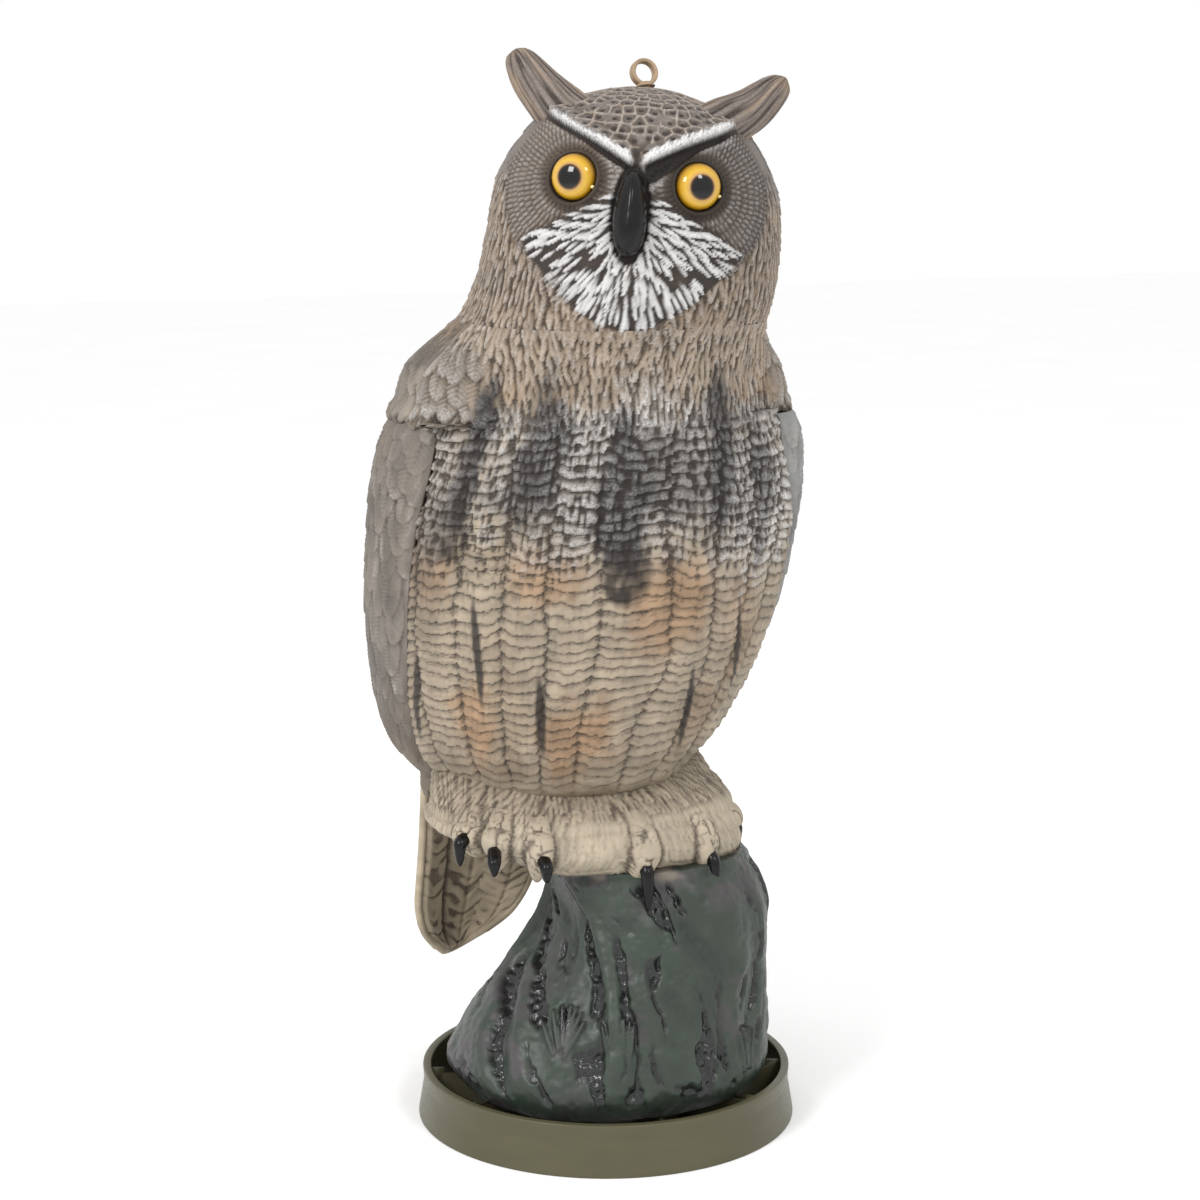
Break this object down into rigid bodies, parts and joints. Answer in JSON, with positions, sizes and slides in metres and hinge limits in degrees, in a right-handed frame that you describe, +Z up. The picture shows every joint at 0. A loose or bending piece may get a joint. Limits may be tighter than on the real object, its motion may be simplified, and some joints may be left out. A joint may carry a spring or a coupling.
{
  "type": "owl decoy",
  "caption": "Perched horned owl decoy with wings that flap on shoulder pivots, on a hollow stump that lifts off a round ribbed base, with a hanging ring on its head.",
  "frame": {"origin": "centre of the base's underside, on the ground", "axes": "+Z up, -Y the way the owl's breast faces, +X the owl's left"},
  "size_m": [0.2274, 0.2415, 0.5703],
  "materials": {
    "feather_tan": "hand-painted matt feathers",
    "feather_grey": "hand-painted matt feathers",
    "stump_green": "painted bark",
    "base_olive": "moulded semi-gloss",
    "gloss_black": "gloss",
    "eye_amber": "gloss",
    "eye_clear": "clear acrylic",
    "natural_nylon": "moulded",
    "zinc_steel": "zinc plated"
  },
  "bodies": {
    "base": {"base_ring": "base_olive"},
    "owl": {"back_shell": "feather_tan", "beak": "gloss_black", "beak_clip": "zinc_steel", "breast_shell": "feather_tan", "collar_screw_0": "zinc_steel", "collar_screw_1": "zinc_steel", "collar_screw_2": "zinc_steel", "eye_left_clip": "zinc_steel", "eye_left_iris": "eye_amber", "eye_left_lens": "eye_clear", "eye_right_clip": "zinc_steel", "eye_right_iris": "eye_amber", "eye_right_lens": "eye_clear", "feet_shell": "feather_tan", "fill_plug": "gloss_black", "hang_ring": "feather_tan", "hang_ring_nut": "natural_nylon", "head_shell": "feather_grey", "perch_screw_left": "zinc_steel", "perch_screw_right": "zinc_steel", "socket_collar": "natural_nylon", "stump_shell": "stump_green", "tail": "feather_tan", "talon_left_inner": "gloss_black", "talon_left_middle": "gloss_black", "talon_left_outer": "gloss_black", "talon_right_inner": "gloss_black", "talon_right_middle": "gloss_black", "talon_right_outer": "gloss_black", "wing_left_bracket": "zinc_steel", "wing_left_clip": "zinc_steel", "wing_left_pin": "zinc_steel", "wing_left_screw_front": "zinc_steel", "wing_left_screw_rear": "zinc_steel", "wing_right_bracket": "zinc_steel", "wing_right_clip": "zinc_steel", "wing_right_pin": "zinc_steel", "wing_right_screw_front": "zinc_steel", "wing_right_screw_rear": "zinc_steel"},
    "wing_right": {"wing_right": "feather_grey", "wing_right_bush": "natural_nylon"},
    "wing_left": {"wing_left": "feather_grey", "wing_left_bush": "natural_nylon"}
  },
  "joints": [
    {"name": "owl_lift", "type": "slide", "parent": "base", "child": "owl", "axis": [0, 0, 1], "range_m": [0, 0.048]},
    {"name": "wing_right_flap", "type": "hinge", "parent": "owl", "child": "wing_right", "pos_m": [-0.11085, -0.003, 0.3795], "axis": [0, 1, 0], "range_deg": [0, 50]},
    {"name": "wing_left_flap", "type": "hinge", "parent": "owl", "child": "wing_left", "pos_m": [0.09314, -0.003, 0.3795], "axis": [0, -1, 0], "range_deg": [0, 50]}
  ]
}
